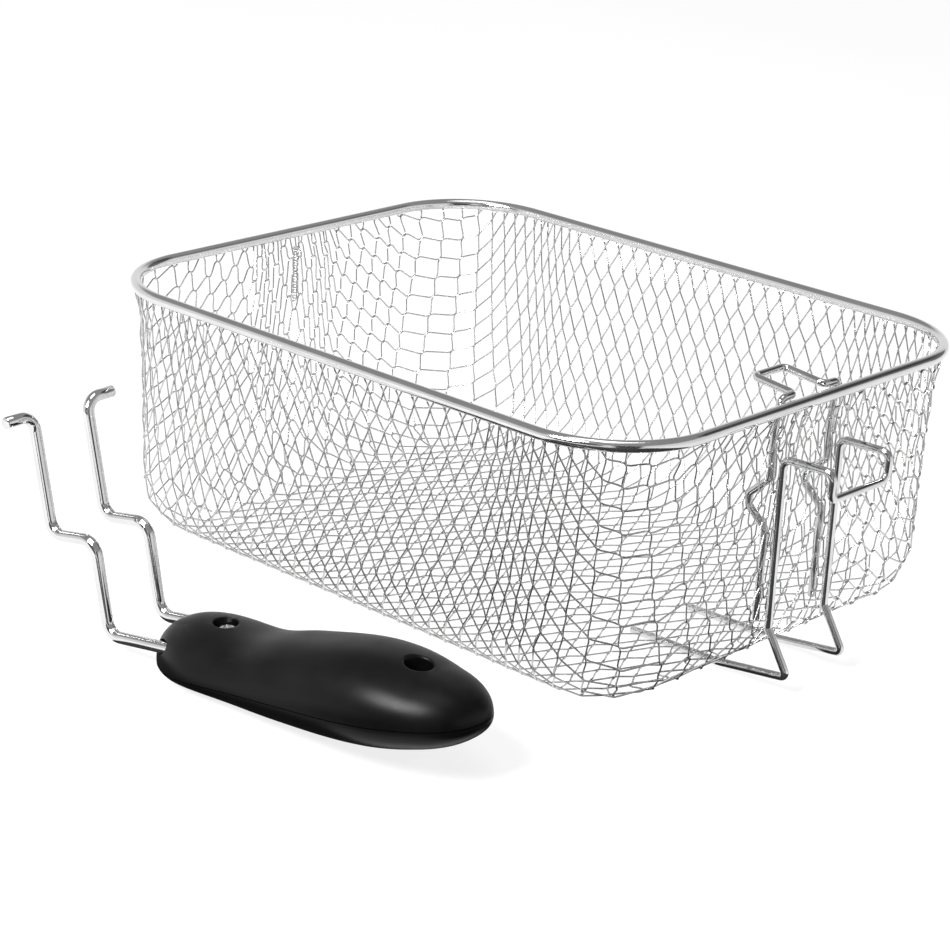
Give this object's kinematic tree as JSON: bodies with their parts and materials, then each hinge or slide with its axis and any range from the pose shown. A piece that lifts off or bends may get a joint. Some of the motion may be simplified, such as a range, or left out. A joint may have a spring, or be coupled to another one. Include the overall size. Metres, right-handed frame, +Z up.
{
  "type": "fryer basket with clip-on handle",
  "caption": "Woven-wire fryer basket with a rolled rim, a drain hook and handle socket of bent wire, and a detached clip-on handle with a moulded grip.",
  "frame": {"origin": "centre of the whole footprint, basket and handle together, on the surface they stand on", "axes": "+Z up; Y along the basket's long side, with the drain hook and socket at the -Y end; the handle lies on the -X side with its prongs towards +Y"},
  "size_m": [0.2874, 0.279, 0.1066],
  "materials": {
    "steel_mesh": "bright, fine crimped wire",
    "rolled_steel": "satin bright rolled band",
    "steel_wire": "bright nickel-chrome plated wire",
    "bright_wire": "mirror bright chrome wire",
    "black_plastic": "satin black moulded plastic"
  },
  "bodies": {
    "basket": {"wire_mesh": "steel_mesh", "rim_band": "rolled_steel", "rim_core_wire": "steel_wire", "seam_lacing": "steel_mesh", "drain_hook_wire": "steel_wire", "socket_wire": "steel_wire"},
    "grip": {"grip_upper_shell": "black_plastic", "grip_lower_shell": "black_plastic", "prong_clamp": "steel_wire", "clamp_screw": "bright_wire", "clamp_nut": "steel_wire"},
    "left_prong": {"left_prong": "bright_wire"},
    "right_prong": {"right_prong": "bright_wire"}
  },
  "joints": [
    {"name": "handle_lift", "type": "slide", "parent": "basket", "child": "grip", "axis": [0, 0, 1], "range_m": [0, 0.2]},
    {"name": "left_prong_flex", "type": "hinge", "parent": "grip", "child": "left_prong", "pos_m": [-0.12596, 0.01345, 0.01061], "axis": [-0.012, 0.156, 0.9877], "range_deg": [-4, 0], "stiffness_Nm_per_rad": 12},
    {"name": "right_prong_flex", "type": "hinge", "parent": "grip", "child": "right_prong", "pos_m": [-0.10123, 0.01536, 0.01061], "axis": [-0.012, 0.156, 0.9877], "range_deg": [0, 4], "stiffness_Nm_per_rad": 12}
  ]
}
